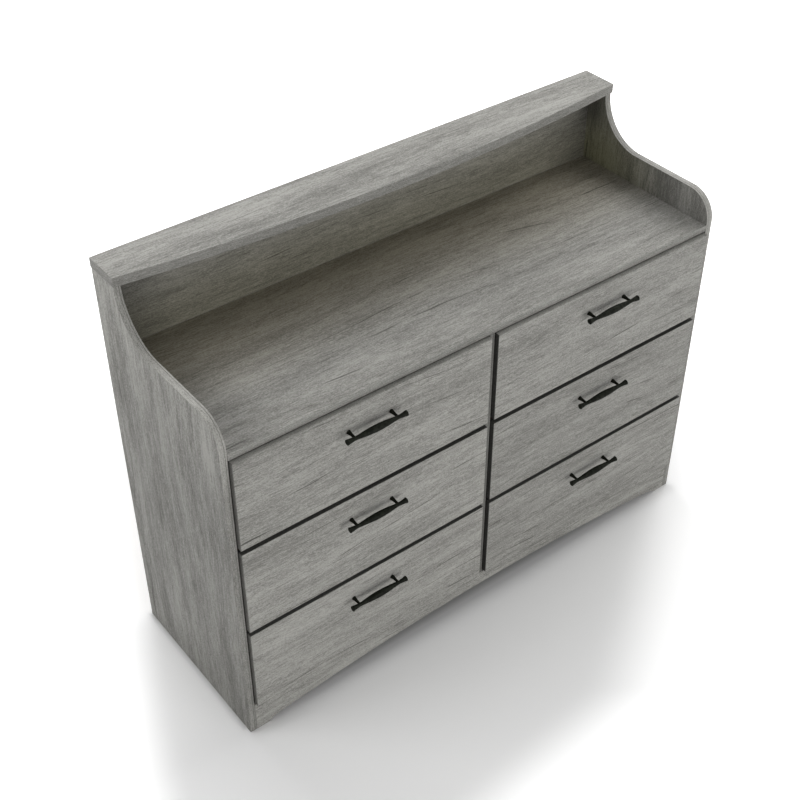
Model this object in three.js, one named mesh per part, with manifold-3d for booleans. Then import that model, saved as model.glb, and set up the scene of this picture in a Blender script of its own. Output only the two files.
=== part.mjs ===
// Dresser with a low hutch. Six drawers in two columns stand under a deck board, between two side
// panels that carry on up past the deck, sweep back and end under a bowed cap board.
// Millimetres, +Z up, front towards -Y. The origin is on the floor, in the middle of the whole
// outline seen from above, so the pulls at the front and the case back count in the depth.
import * as THREE from 'three';
import { mergeVertices } from 'three/addons/utils/BufferGeometryUtils.js';
import Module from 'manifold-3d';

const wasm = await Module();
wasm.setup();

// Case: driving dimensions
const caseWidth = 1204;
const sideDepth = 402;
const overallHeight = 937;
const boardThick = 15;
const dividerThick = 12;
const backSheetThick = 3;
const deckHeight = 746;
const plinthHeight = 76;
const seatGap = 0.3;

// Cap board
const capThick = 19.5;
const capSideOverhang = 1.5;
const capFrontOverhang = 4;
const capBow = 40;

// Hutch: depth of the side panels under the cap, the cove below it and the round front shoulder
const hutchTopDepth = 80;
const coveRadius = 105;
const shoulderRadius = 60;
const hutchBackRecess = 16;

// Apron: the arch rises from a short ramp at each foot
const archRise = 42;
const rampRise = 10;
const rampRun = 18;
const footLength = 32;

// Centre foot and rear rail under the bottom board
const centreFootWidth = 60;
const rearRailDrop = 50;

// Drawer fronts and the gaps round them
const frontThick = 15;
const frontProud = 9;
const frontSideGap = 2;
const frontDividerGap = 2;
const frontDeckGap = 2;
const frontRowGap = 10;
const frontPlinthGap = 5;
const frontEase = 0.8;

// Drawer boxes
const boxSideThick = 12;
const boxLength = 350;
const boxRise = 22;
const boxTopDrop = 37;
const boxCaseGap = 5;
const sheetThick = 3;
const sheetRise = 9;
const sheetGrooveDepth = 5;
const sheetPlay = 0.4;

// Runners: a strip on the case that sits in a groove of the drawer side, with a stop nib
const runnerHeight = 16;
const runnerBite = 6;
const runnerLength = 315;
const runnerPlay = 0.7;
const grooveFrontWall = 20;
const nibHeight = 3;
const nibLength = 10;
const drawerTravel = 250;

// Pulls
const pullCentres = 96;
const pullLength = 135;
const pullStandoff = 22;
const pullDrop = 54;
const pullMidRadius = 7;
const pullNeckRadius = 3.8;
const pullEndRadius = 6;
const postBaseRadius = 4.6;
const postWaistRadius = 2.6;

// One overrun for every cut, and the steps of the curves
const overrun = 2;
const capSteps = 32;
const coveSteps = 18;
const archSteps = 40;
const barSteps = 22;
const barSides = 16;
const postSteps = 6;
const postSides = 12;
const bellyPower = 1.5;
const flarePower = 1.6;
const postPower = 2.2;

// Places that follow from the sizes
const pullReach = pullStandoff + pullMidRadius;
const overallDepth = sideDepth + frontProud + pullReach;
const backY = overallDepth / 2;
const caseFrontY = backY - sideDepth;
const faceY = caseFrontY - frontProud;
const sideInnerX = caseWidth / 2 - boardThick;
const capBottomZ = overallHeight - capThick;
const deckBottomZ = deckHeight - boardThick;
const bottomBoardZ = plinthHeight - boardThick;
const caseBackY = backY - backSheetThick - seatGap;
const frontBottomZ = plinthHeight + frontPlinthGap;
const frontTopZ = deckBottomZ - frontDeckGap;
const rowCount = 3;
const frontHeight = (frontTopZ - frontBottomZ - (rowCount - 1) * frontRowGap) / rowCount;
const rowPitch = frontHeight + frontRowGap;
const boxHeight = frontHeight - boxRise - boxTopDrop;
const runnerRise = (boxHeight - runnerHeight) / 2;
const boxFrontY = faceY + frontThick + seatGap;
const boxBackY = boxFrontY + boxLength;
const runnerFrontY = boxFrontY + grooveFrontWall + seatGap;
const nibBackY = runnerFrontY + nibLength;

// Finishes
const finishes = {
  oak: { color: 0x8f8e89, roughness: 0.62, metalness: 0 },
  core: { color: 0x9a8f80, roughness: 0.85, metalness: 0 },
  sheet: { color: 0x8a8178, roughness: 0.8, metalness: 0 },
  runner: { color: 0xd9d8d2, roughness: 0.45, metalness: 0 },
  pull: { color: 0x1b1c1c, roughness: 0.5, metalness: 0.7 },
};

const dresser = new THREE.Group();

function addPiece(name, geometry, finish) {
  const mesh = new THREE.Mesh(geometry, new THREE.MeshStandardMaterial(finishes[finish]));
  mesh.name = name;
  dresser.add(mesh);
  return mesh;
}

// A rectangular board between two opposite corners.
function board(low, high) {
  const size = high.map((value, axis) => value - low[axis]);
  const middle = high.map((value, axis) => (value + low[axis]) / 2);
  const geometry = new THREE.BoxGeometry(...size);
  geometry.translate(...middle);
  return geometry;
}

// A flat outline made a board of even thickness.
function plank(shape, thickness, curveSegments) {
  return new THREE.ExtrudeGeometry(shape, {
    depth: thickness,
    bevelEnabled: false,
    curveSegments,
  });
}

// An outline in Y and Z, given a thickness along X from a first face.
function extrudeAlongX(shape, fromX, thickness, curveSegments) {
  const geometry = plank(shape, thickness, curveSegments);
  const turn = new THREE.Matrix4().set(
    0, 0, 1, fromX,
    1, 0, 0, 0,
    0, 1, 0, 0,
    0, 0, 0, 1,
  );
  geometry.applyMatrix4(turn);
  return geometry;
}

// An outline in X and Z, given a thickness along Y from a first face.
function extrudeAlongY(shape, fromY, thickness, curveSegments) {
  const geometry = plank(shape, thickness, curveSegments);
  geometry.rotateX(Math.PI / 2);
  geometry.translate(0, fromY + thickness, 0);
  return geometry;
}

// A closed mesh as a solid for joins and cuts. Collapsed triangles at a lathe's poles are left out.
function toSolid(geometry) {
  const bare = geometry.clone();
  bare.deleteAttribute('normal');
  bare.deleteAttribute('uv');
  const merged = mergeVertices(bare);
  const index = merged.index.array;
  const kept = [];
  for (let i = 0; i < index.length; i += 3) {
    const [a, b, c] = [index[i], index[i + 1], index[i + 2]];
    if (a !== b && b !== c && c !== a) {
      kept.push(a, b, c);
    }
  }
  return new wasm.Manifold(new wasm.Mesh({
    numProp: 3,
    vertProperties: merged.attributes.position.array,
    triVerts: new Uint32Array(kept),
  }));
}

function toGeometry(solid) {
  const mesh = solid.getMesh();
  const geometry = new THREE.BufferGeometry();
  geometry.setAttribute('position', new THREE.BufferAttribute(new Float32Array(mesh.vertProperties), 3));
  geometry.setIndex(new THREE.BufferAttribute(new Uint32Array(mesh.triVerts), 1));
  geometry.computeVertexNormals();
  return geometry;
}

function cut(body, ...tools) {
  return toGeometry(tools.reduce((left, tool) => left.subtract(toSolid(tool)), toSolid(body)));
}

// Side panels: straight up the drawer case, round over the shoulder, level, then up the cove
function sidePanelOutline() {
  const topZ = capBottomZ - seatGap;
  const shelfZ = topZ - coveRadius;
  const coveFootY = backY - hutchTopDepth - coveRadius;
  const quarter = Math.PI / 2;
  const outline = new THREE.Shape();
  outline.moveTo(backY, 0);
  outline.lineTo(backY, topZ);
  outline.lineTo(backY - hutchTopDepth, topZ);
  outline.absarc(coveFootY, topZ, coveRadius, 0, -quarter, true);
  outline.lineTo(caseFrontY + shoulderRadius, shelfZ);
  outline.absarc(
    caseFrontY + shoulderRadius,
    shelfZ - shoulderRadius,
    shoulderRadius,
    quarter,
    Math.PI,
    false,
  );
  outline.lineTo(caseFrontY, 0);
  outline.closePath();
  return outline;
}

const sideOutline = sidePanelOutline();

addPiece('left_side_panel', extrudeAlongX(sideOutline, -caseWidth / 2, boardThick, coveSteps), 'oak');
addPiece('right_side_panel', extrudeAlongX(sideOutline, sideInnerX, boardThick, coveSteps), 'oak');

// Cap board: straight back and ends, front edge on a long arc that stands furthest out mid-way
function capGeometry() {
  const halfWidth = caseWidth / 2 + capSideOverhang;
  const endY = backY - hutchTopDepth - capFrontOverhang;
  const bowRadius = (halfWidth ** 2 + capBow ** 2) / (2 * capBow);
  const bowCentreY = endY - capBow + bowRadius;
  const halfAngle = Math.asin(halfWidth / bowRadius);
  const outline = new THREE.Shape();
  outline.moveTo(halfWidth, backY);
  outline.lineTo(-halfWidth, backY);
  outline.lineTo(-halfWidth, endY);
  outline.absarc(0, bowCentreY, bowRadius, -Math.PI / 2 - halfAngle, -Math.PI / 2 + halfAngle, false);
  outline.closePath();
  const geometry = plank(outline, capThick, capSteps);
  geometry.translate(0, 0, capBottomZ);
  return geometry;
}

addPiece('cap_board', capGeometry(), 'oak');

// Boards between the side panels
const spanX = sideInnerX - seatGap;

addPiece('hutch_back_panel', board(
  [-spanX, backY - hutchBackRecess - boardThick, deckHeight + seatGap],
  [spanX, backY - hutchBackRecess, capBottomZ - seatGap],
), 'oak');
addPiece('deck_board', board(
  [-spanX, caseFrontY, deckBottomZ],
  [spanX, caseBackY, deckHeight],
), 'oak');
addPiece('bottom_board', board(
  [-spanX, caseFrontY + boardThick + seatGap, bottomBoardZ],
  [spanX, caseBackY, plinthHeight],
), 'oak');
addPiece('centre_divider', board(
  [-dividerThick / 2, caseFrontY, plinthHeight + seatGap],
  [dividerThick / 2, caseBackY, deckBottomZ - seatGap],
), 'oak');

// Apron: a foot at each end, a short ramp and then one long shallow arch
function apronOutline() {
  const footEndX = spanX - footLength;
  const archHalf = footEndX - rampRun;
  const sagitta = archRise - rampRise;
  const archRadius = (archHalf ** 2 + sagitta ** 2) / (2 * sagitta);
  const halfAngle = Math.asin(archHalf / archRadius);
  const outline = new THREE.Shape();
  outline.moveTo(-spanX, 0);
  outline.lineTo(-footEndX, 0);
  outline.quadraticCurveTo(-footEndX + rampRun / 3, rampRise, -archHalf, rampRise);
  outline.absarc(
    0,
    archRise - archRadius,
    archRadius,
    Math.PI / 2 + halfAngle,
    Math.PI / 2 - halfAngle,
    true,
  );
  outline.quadraticCurveTo(footEndX - rampRun / 3, rampRise, footEndX, 0);
  outline.lineTo(spanX, 0);
  outline.lineTo(spanX, plinthHeight);
  outline.lineTo(-spanX, plinthHeight);
  outline.closePath();
  return outline;
}

addPiece('apron', extrudeAlongY(apronOutline(), caseFrontY, boardThick, archSteps), 'oak');
addPiece('rear_rail', board(
  [-spanX, caseBackY - boardThick, bottomBoardZ - seatGap - rearRailDrop],
  [spanX, caseBackY, bottomBoardZ - seatGap],
), 'core');
addPiece('centre_foot', board(
  [-centreFootWidth / 2, -centreFootWidth / 2, 0],
  [centreFootWidth / 2, centreFootWidth / 2, bottomBoardZ - seatGap],
), 'core');

// Back sheets: one behind each column, meeting on the middle of the divider
const sheetLowZ = bottomBoardZ - seatGap - rearRailDrop;
const sheetMeetX = seatGap / 2;

addPiece('left_back_sheet', board(
  [-spanX, backY - backSheetThick, sheetLowZ],
  [-sheetMeetX, backY, deckHeight],
), 'sheet');
addPiece('right_back_sheet', board(
  [sheetMeetX, backY - backSheetThick, sheetLowZ],
  [spanX, backY, deckHeight],
), 'sheet');

// Drawer front: a board with its edges eased and a groove for the bottom sheet across its back
function frontGeometry(place) {
  const outline = new THREE.Shape();
  outline.moveTo(place.frontLow + frontEase, place.lowZ + frontEase);
  outline.lineTo(place.frontHigh - frontEase, place.lowZ + frontEase);
  outline.lineTo(place.frontHigh - frontEase, place.lowZ + frontHeight - frontEase);
  outline.lineTo(place.frontLow + frontEase, place.lowZ + frontHeight - frontEase);
  outline.closePath();
  const geometry = new THREE.ExtrudeGeometry(outline, {
    depth: frontThick - 2 * frontEase,
    bevelEnabled: true,
    bevelThickness: frontEase,
    bevelSize: frontEase,
    bevelSegments: 1,
    steps: 1,
  });
  geometry.rotateX(Math.PI / 2);
  geometry.translate(0, faceY + frontThick - frontEase, 0);
  const grooveInset = boxSideThick - sheetGrooveDepth;
  const backFaceY = faceY + frontThick;
  const groove = board(
    [place.boxLow + grooveInset, backFaceY - sheetGrooveDepth, place.sheetZ - sheetPlay],
    [place.boxHigh - grooveInset, backFaceY + overrun, place.sheetZ + sheetThick + sheetPlay],
  );
  return cut(geometry, groove);
}

// Drawer side: the runner groove is open at the back and closed behind the front. A shallow relief
// above it lets the stop nib pass until the drawer has come out by its travel. Out is +1 where the
// side's outer face looks towards +X and -1 where it looks towards -X.
function boxSideGeometry(place, outerX, out) {
  const grooveDepth = runnerBite + runnerPlay;
  const grooveLowZ = place.runnerZ - runnerPlay;
  const grooveHighZ = place.runnerZ + runnerHeight + seatGap;
  const grooveY = boxFrontY + grooveFrontWall;
  const reliefBackY = nibBackY + drawerTravel + seatGap;
  const sorted = (a, b) => [Math.min(a, b), Math.max(a, b)];
  const [lowX, highX] = sorted(outerX, outerX - out * boxSideThick);
  const [grooveLowX, grooveHighX] = sorted(outerX + out * overrun, outerX - out * grooveDepth);
  const innerX = outerX - out * boxSideThick;
  const [sheetLowX, sheetHighX] = sorted(innerX - out * overrun, innerX + out * sheetGrooveDepth);
  const side = board([lowX, boxFrontY, place.boxLowZ], [highX, boxBackY, place.boxLowZ + boxHeight]);
  const groove = board([grooveLowX, grooveY, grooveLowZ], [grooveHighX, boxBackY + overrun, grooveHighZ]);
  const relief = board(
    [grooveLowX, grooveY, grooveHighZ - seatGap],
    [grooveHighX, reliefBackY, grooveHighZ + nibHeight + runnerPlay],
  );
  const sheetGroove = board(
    [sheetLowX, boxFrontY - overrun, place.sheetZ - sheetPlay],
    [sheetHighX, boxBackY + overrun, place.sheetZ + sheetThick + sheetPlay],
  );
  return cut(side, groove, relief, sheetGroove);
}

// Runner: a strip that stands off the case by the box's gap plus its bite, with a nib at its front
// end. In is the direction from the case board into the drawer's opening.
function runnerGeometry(place, caseX, into) {
  const nearX = caseX + into * seatGap;
  const farX = caseX + into * (boxCaseGap + runnerBite);
  const lowX = Math.min(nearX, farX);
  const highX = Math.max(nearX, farX);
  const outline = new THREE.Shape();
  outline.moveTo(runnerFrontY, place.runnerZ);
  outline.lineTo(runnerFrontY + runnerLength, place.runnerZ);
  outline.lineTo(runnerFrontY + runnerLength, place.runnerZ + runnerHeight);
  outline.lineTo(nibBackY, place.runnerZ + runnerHeight);
  outline.lineTo(nibBackY, place.runnerZ + runnerHeight + nibHeight);
  outline.lineTo(runnerFrontY + nibHeight, place.runnerZ + runnerHeight + nibHeight);
  outline.lineTo(runnerFrontY, place.runnerZ + runnerHeight);
  outline.closePath();
  return extrudeAlongX(outline, lowX, highX - lowX, 1);
}

// Pull: a spindle that is stout mid-way, thin at its posts and flared to a flat face at each end,
// on two posts that widen to the drawer front
function barRadius(along) {
  const distance = Math.abs(along);
  const postAt = pullCentres / 2;
  if (distance <= postAt) {
    const belly = (1 - (distance / postAt) ** 2) ** bellyPower;
    return pullNeckRadius + (pullMidRadius - pullNeckRadius) * belly;
  }
  const flare = ((distance - postAt) / (pullLength / 2 - postAt)) ** flarePower;
  return pullNeckRadius + (pullEndRadius - pullNeckRadius) * flare;
}

function barSolid() {
  const profile = [new THREE.Vector2(0, -pullLength / 2)];
  for (let step = 0; step <= barSteps; step += 1) {
    const along = (step / barSteps - 1 / 2) * pullLength;
    profile.push(new THREE.Vector2(barRadius(along), along));
  }
  profile.push(new THREE.Vector2(0, pullLength / 2));
  const bar = new THREE.LatheGeometry(profile, barSides);
  bar.rotateZ(-Math.PI / 2);
  return toSolid(bar);
}

function postSolid(atX) {
  const height = pullStandoff - seatGap;
  const profile = [new THREE.Vector2(0, 0)];
  for (let step = 0; step <= postSteps; step += 1) {
    const share = step / postSteps;
    const radius = postWaistRadius + (postBaseRadius - postWaistRadius) * (1 - share) ** postPower;
    profile.push(new THREE.Vector2(radius, share * height));
  }
  profile.push(new THREE.Vector2(0, height));
  const post = new THREE.LatheGeometry(profile, postSides);
  post.rotateX(Math.PI);
  post.translate(atX, pullStandoff - seatGap, 0);
  return toSolid(post);
}

function pullGeometry(place) {
  const pull = barSolid().add(postSolid(-pullCentres / 2)).add(postSolid(pullCentres / 2));
  const geometry = toGeometry(pull);
  const middleX = (place.frontLow + place.frontHigh) / 2;
  geometry.translate(middleX, faceY - pullStandoff, place.lowZ + frontHeight - pullDrop);
  return geometry;
}

// One drawer with its two runners. The place holds the column's and the row's limits.
function addDrawer(name, place) {
  const innerLow = place.boxLow + boxSideThick;
  const innerHigh = place.boxHigh - boxSideThick;
  const sheetReach = sheetGrooveDepth - sheetPlay;
  const backLowZ = place.sheetZ + sheetThick + seatGap;
  addPiece(`${name}_drawer_front`, frontGeometry(place), 'oak');
  addPiece(`${name}_drawer_left_side`, boxSideGeometry(place, place.boxLow, -1), 'core');
  addPiece(`${name}_drawer_right_side`, boxSideGeometry(place, place.boxHigh, 1), 'core');
  addPiece(`${name}_drawer_back`, board(
    [innerLow + seatGap, boxBackY - boxSideThick, backLowZ],
    [innerHigh - seatGap, boxBackY, place.boxLowZ + boxHeight],
  ), 'core');
  addPiece(`${name}_drawer_bottom`, board(
    [innerLow - sheetReach, faceY + frontThick - sheetReach, place.sheetZ],
    [innerHigh + sheetReach, boxBackY, place.sheetZ + sheetThick],
  ), 'sheet');
  addPiece(`${name}_drawer_pull`, pullGeometry(place), 'pull');
  addPiece(`${name}_left_runner`, runnerGeometry(place, place.caseLow, 1), 'runner');
  addPiece(`${name}_right_runner`, runnerGeometry(place, place.caseHigh, -1), 'runner');
}

// Columns from the side panels to the divider, rows from the top down
const dividerFaceX = dividerThick / 2;
const columns = [
  {
    name: 'left',
    caseLow: -sideInnerX,
    caseHigh: -dividerFaceX,
    gapLow: frontSideGap,
    gapHigh: frontDividerGap,
  },
  {
    name: 'right',
    caseLow: dividerFaceX,
    caseHigh: sideInnerX,
    gapLow: frontDividerGap,
    gapHigh: frontSideGap,
  },
];
const rows = ['top', 'middle', 'bottom'];

rows.forEach((row, index) => {
  const lowZ = frontTopZ - frontHeight - index * rowPitch;
  columns.forEach((column) => {
    addDrawer(`${row}_${column.name}`, {
      caseLow: column.caseLow,
      caseHigh: column.caseHigh,
      frontLow: column.caseLow + column.gapLow,
      frontHigh: column.caseHigh - column.gapHigh,
      boxLow: column.caseLow + boxCaseGap,
      boxHigh: column.caseHigh - boxCaseGap,
      lowZ,
      boxLowZ: lowZ + boxRise,
      sheetZ: lowZ + boxRise + sheetRise,
      runnerZ: lowZ + boxRise + runnerRise,
    });
  });
});

export default dresser;
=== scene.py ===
# %% [markdown]
# # A grey oak dresser with a low hutch
#
# The dresser is flat-pack furniture: thin boards with a printed oak face, an edge band along every
# cut edge, six drawers on side runners and black spindle pulls. The imported model already holds every
# board at its real place and size. This file gives the boards their softened edges and their grain,
# turns the pulls, adds the small fittings, and sets up the floor, the light and the camera.
#
# The first cell loads the imported model as a fixed frame. Every length is in metres. X runs to the
# right, Y away from the viewer and Z up.

# %% Load the frame
import math
import bpy
import numpy as np
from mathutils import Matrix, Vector


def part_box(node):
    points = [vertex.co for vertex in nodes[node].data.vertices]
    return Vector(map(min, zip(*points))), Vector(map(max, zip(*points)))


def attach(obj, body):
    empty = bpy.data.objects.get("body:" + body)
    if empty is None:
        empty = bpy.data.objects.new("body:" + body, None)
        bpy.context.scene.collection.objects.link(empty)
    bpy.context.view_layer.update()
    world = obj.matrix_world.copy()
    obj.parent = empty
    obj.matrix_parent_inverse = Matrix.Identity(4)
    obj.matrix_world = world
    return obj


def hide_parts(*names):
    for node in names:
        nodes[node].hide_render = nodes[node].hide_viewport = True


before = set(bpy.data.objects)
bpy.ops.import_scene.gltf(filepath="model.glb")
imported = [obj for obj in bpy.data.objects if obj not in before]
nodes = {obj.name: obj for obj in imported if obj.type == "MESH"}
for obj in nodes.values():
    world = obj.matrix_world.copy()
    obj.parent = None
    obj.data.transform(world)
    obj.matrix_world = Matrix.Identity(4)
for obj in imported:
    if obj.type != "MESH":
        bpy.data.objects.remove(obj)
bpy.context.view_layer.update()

# %% [markdown]
# ## Camera
#
# The photograph looks down on the dresser from its left front. Its angles, place and lens were found
# by matching the case's corners, so they are plain values here. The camera has no roll, and its lens
# is long, which keeps the far end from shrinking much.

# %% Camera
view_azimuth = math.radians(37.64)
view_elevation = math.radians(39.58)
camera_place = Vector((-1.3747, -1.6778, 2.2427))
camera_lens = 60.15

camera_look = Vector((
    math.sin(view_azimuth) * math.cos(view_elevation),
    math.cos(view_azimuth) * math.cos(view_elevation),
    -math.sin(view_elevation),
))
camera_data = bpy.data.cameras.new("camera")
camera_data.lens = camera_lens
camera = bpy.data.objects.new("camera", camera_data)
camera.location = camera_place
camera.rotation_euler = camera_look.to_track_quat("-Z", "Y").to_euler()
bpy.context.scene.collection.objects.link(camera)
bpy.context.scene.camera = camera
bpy.context.scene.view_settings.view_transform = "Standard"
print("camera looks along", tuple(round(v, 3) for v in camera_look))

# %% [markdown]
# ## Nodes in a few lines
#
# A material is a small graph. The first helper adds one node, sets its properties, and fills each
# input either with a value or with another node's output. The others wrap the most common nodes, so
# that a graph reads from the pattern's source to its end.

# %% Helpers that add shader nodes
def add_node(tree, kind, inputs=None, **properties):
    """Adds a node of a kind; inputs maps a socket's name or number to a value or an output socket."""
    node = tree.nodes.new(kind)
    for name, value in properties.items():
        setattr(node, name, value)
    for key, value in (inputs or {}).items():
        if isinstance(value, bpy.types.NodeSocket):
            tree.links.new(value, node.inputs[key])
        else:
            node.inputs[key].default_value = value
    return node


def math_node(tree, operation, *values):
    """One Math node's output, for one to three values or outputs."""
    inputs = {index: value for index, value in enumerate(values)}
    return add_node(tree, "ShaderNodeMath", inputs, operation=operation).outputs[0]


def object_place(tree):
    """The point's place on its own object, and so in the room: every object is at the origin."""
    return add_node(tree, "ShaderNodeTexCoord").outputs["Object"]


def split(tree, vector):
    """A vector's three numbers as outputs."""
    return add_node(tree, "ShaderNodeSeparateXYZ", {0: vector}).outputs


def noise(tree, vector, scale, detail, roughness=0.5):
    """A noise texture's value, from 0 to 1, on a vector multiplied by a scale for each axis."""
    inputs = {0: vector, 1: scale}
    place = add_node(tree, "ShaderNodeVectorMath", inputs, operation="MULTIPLY").outputs[0]
    inputs = {"Vector": place, "Scale": 1.0, "Detail": detail, "Roughness": roughness}
    return add_node(tree, "ShaderNodeTexNoise", inputs).outputs[0]


def even_noise(tree, scale, detail, roughness=0.5):
    """A noise on the object's own coordinates that is alike in all directions."""
    return noise(tree, object_place(tree), (scale, scale, scale), detail, roughness)


def stretched(tree, value, low, high, to_low=0.0, to_high=1.0, smooth=True):
    """A value mapped from one range to another and held inside it."""
    inputs = {"Value": value, "From Min": low, "From Max": high, "To Min": to_low, "To Max": to_high}
    kind = "SMOOTHSTEP" if smooth else "LINEAR"
    return add_node(tree, "ShaderNodeMapRange", inputs, interpolation_type=kind).outputs[0]


def mixed(tree, factor, first, second, blend="MIX"):
    """Two colours mixed by a factor."""
    inputs = {0: factor, 6: first, 7: second}
    node = add_node(tree, "ShaderNodeMix", inputs, data_type="RGBA", blend_type=blend)
    return node.outputs[2]


def toned(colour, tone):
    """A colour made lighter or darker, with its alpha."""
    return tuple(value * tone for value in colour) + (1.0,)


def grey(value):
    """A grey of that value, with its alpha."""
    return toned((1.0, 1.0, 1.0), value)


def make_material(name, base, roughness, metallic=0.0, specular=0.5):
    """A material with its Principled shader's constant values set on the shader itself."""
    material = bpy.data.materials.new(name)
    material.use_nodes = True
    shader = material.node_tree.nodes["Principled BSDF"]
    shader.inputs["Base Color"].default_value = base
    shader.inputs["Roughness"].default_value = roughness
    shader.inputs["Metallic"].default_value = metallic
    shader.inputs["Specular IOR Level"].default_value = specular
    return material, material.node_tree, shader


def add_bump(tree, shader, height, strength, distance):
    """A height that bends the shader's normal."""
    inputs = {"Height": height, "Strength": strength, "Distance": distance}
    bump = add_node(tree, "ShaderNodeBump", inputs)
    tree.links.new(bump.outputs[0], shader.inputs["Normal"])


print("node helpers ready")

# %% [markdown]
# ## Grey oak, as one node group
#
# The boards carry a printed oak grain. Real grain is made of layers at very different scales, and all
# of them are longer along the board than across it:
#
# - broad patches where the tone drifts
# - streaks, about seven millimetres wide and ten times as long
# - hairs, finer than the streaks
# - pores, short specks that give the face its tooth
# - thin dark cracks and still finer pen strokes, which drift across the grain at a small angle
#
# An image would repeat and has a fixed sharpness. Noise stretched along the grain has neither limit.
# The cracks need more care, because the contour line of a noise curls like a map's. Here the board is
# divided into lanes across the grain. Each lane holds one straight line, moved off the lane's middle
# by a random amount. Another noise decides where each line is present, so that it swells, thins and
# ends like a real crack. Two slow noises, the drift and the curl, bend neighbouring lanes together.

# %% Lines that come and go
# A line's middle lies between 0.2 and 0.8 of its lane.
middle_jitter = (0.6, 0.2)
lane_step = 7.31
presence_ramp = 0.16
least_reach = 0.0005


def broken_lines(tree, along, across, lanes, pieces, threshold, width):
    """1 on thin lines along the grain. The lane is the whole part of across times the lane count.
    The line's distance is taken from the lane's jittered middle, and its half width shrinks to zero
    where a noise, read along the lane, falls below the threshold."""
    scaled_across = math_node(tree, "MULTIPLY", across, lanes)
    lane = math_node(tree, "FLOOR", scaled_across)
    white = add_node(tree, "ShaderNodeTexWhiteNoise", {"W": lane}, noise_dimensions="1D")
    middle = math_node(tree, "MULTIPLY_ADD", white.outputs["Value"], *middle_jitter)
    within = math_node(tree, "SUBTRACT", scaled_across, lane)
    off_line = math_node(tree, "ABSOLUTE", math_node(tree, "SUBTRACT", within, middle))
    place = add_node(tree, "ShaderNodeCombineXYZ", {0: along, 1: lane}).outputs[0]
    ebb = noise(tree, place, (pieces, lane_step, 0.0), 1.0)
    presence = stretched(tree, ebb, threshold, threshold + presence_ramp, smooth=False)
    reach = math_node(tree, "MULTIPLY_ADD", presence, width * lanes, least_reach)
    nearness = math_node(tree, "SUBTRACT", 1.0, math_node(tree, "DIVIDE", off_line, reach))
    return math_node(tree, "MULTIPLY", math_node(tree, "MAXIMUM", nearness, 0.0), presence)


print("line helper ready")

# %% Grey oak group
# Each layer: its noise's scale along and across the grain, and its detail and roughness.
grain_layers = {
    "patch": (3.4, 24.0, 3.0, 0.55),
    "streak": (15.0, 150.0, 3.0, 0.6),
    "hair": (44.0, 540.0, 3.0, 0.75),
    "pore": (260.0, 640.0, 1.0, 0.5),
    "bend": (1.5, 4.0, 2.0, 0.45),
    "drift": (1.5, 4.0, 0.5, 0.5),
    "curl": (11.0, 30.0, 1.0, 0.5),
}
hair_weight = 1.9
pore_weight = 1.5
drift_reach = 0.1
curl_reach = 0.008
crack_lines = {"lanes": 24.0, "pieces": 6.5, "threshold": 0.51, "width": 0.0019}
stroke_lines = {"lanes": 105.0, "pieces": 17.0, "threshold": 0.49, "width": 0.0013}
stroke_weight = 0.5
crack_strength = 0.95
crack_colour = (0.05, 0.047, 0.04, 1.0)


def layer(tree, vector, name):
    """How far a layer's noise lies from its middle value."""
    along, across, detail, roughness = grain_layers[name]
    value = noise(tree, vector, (along, across, across), detail, roughness)
    return math_node(tree, "SUBTRACT", value, 0.5)


def make_oak_group():
    """Colour, height and tone of printed oak. X of Vector runs along the grain."""
    tree = bpy.data.node_groups.new("grey_oak", "ShaderNodeTree")
    for name, kind in (
        ("Vector", "Vector"), ("Light", "Color"), ("Dark", "Color"), ("Patches", "Float"),
        ("Streaks", "Float"), ("Cracks", "Float"), ("Waviness", "Float"),
    ):
        tree.interface.new_socket(name, in_out="INPUT", socket_type=f"NodeSocket{kind}")
    for name, kind in (("Color", "Color"), ("Height", "Float"), ("Tone", "Float")):
        tree.interface.new_socket(name, in_out="OUTPUT", socket_type=f"NodeSocket{kind}")
    given = add_node(tree, "NodeGroupInput").outputs
    result = add_node(tree, "NodeGroupOutput")

    # A slow noise pushes every layer sideways together.
    push = math_node(tree, "MULTIPLY", layer(tree, given["Vector"], "bend"), given["Waviness"])
    aside = add_node(tree, "ShaderNodeCombineXYZ", {1: push, 2: push}).outputs[0]
    inputs = {0: given["Vector"], 1: aside}
    bent = add_node(tree, "ShaderNodeVectorMath", inputs, operation="ADD").outputs[0]

    # Each layer counts by how far it lies from its middle value.
    hair = layer(tree, bent, "hair")
    tone = math_node(tree, "MULTIPLY_ADD", layer(tree, bent, "patch"), given["Patches"], 0.5)
    tone = math_node(tree, "MULTIPLY_ADD", layer(tree, bent, "streak"), given["Streaks"], tone)
    tone = math_node(tree, "MULTIPLY_ADD", hair, hair_weight, tone)
    tone = math_node(tree, "MULTIPLY_ADD", layer(tree, bent, "pore"), pore_weight, tone)
    tone = add_node(tree, "ShaderNodeClamp", {0: tone}).outputs[0]

    parts = split(tree, bent)
    across = math_node(tree, "ADD", parts[1], parts[2])
    for name, reach in (("drift", drift_reach), ("curl", curl_reach)):
        across = math_node(tree, "MULTIPLY_ADD", layer(tree, given["Vector"], name), reach, across)
    crack = broken_lines(tree, parts[0], across, **crack_lines)
    stroke = broken_lines(tree, parts[0], across, **stroke_lines)
    lines = math_node(tree, "MULTIPLY_ADD", stroke, stroke_weight, crack)
    lines = math_node(tree, "MULTIPLY", lines, given["Cracks"])

    face = mixed(tree, tone, given["Dark"], given["Light"])
    shade = math_node(tree, "MULTIPLY", lines, crack_strength)
    shade = add_node(tree, "ShaderNodeClamp", {0: shade}).outputs[0]
    height = math_node(tree, "SUBTRACT", math_node(tree, "MULTIPLY_ADD", hair, 0.5, tone), lines)
    tree.links.new(mixed(tree, shade, face, crack_colour), result.inputs["Color"])
    tree.links.new(height, result.inputs["Height"])
    tree.links.new(tone, result.inputs["Tone"])
    return tree


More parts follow.
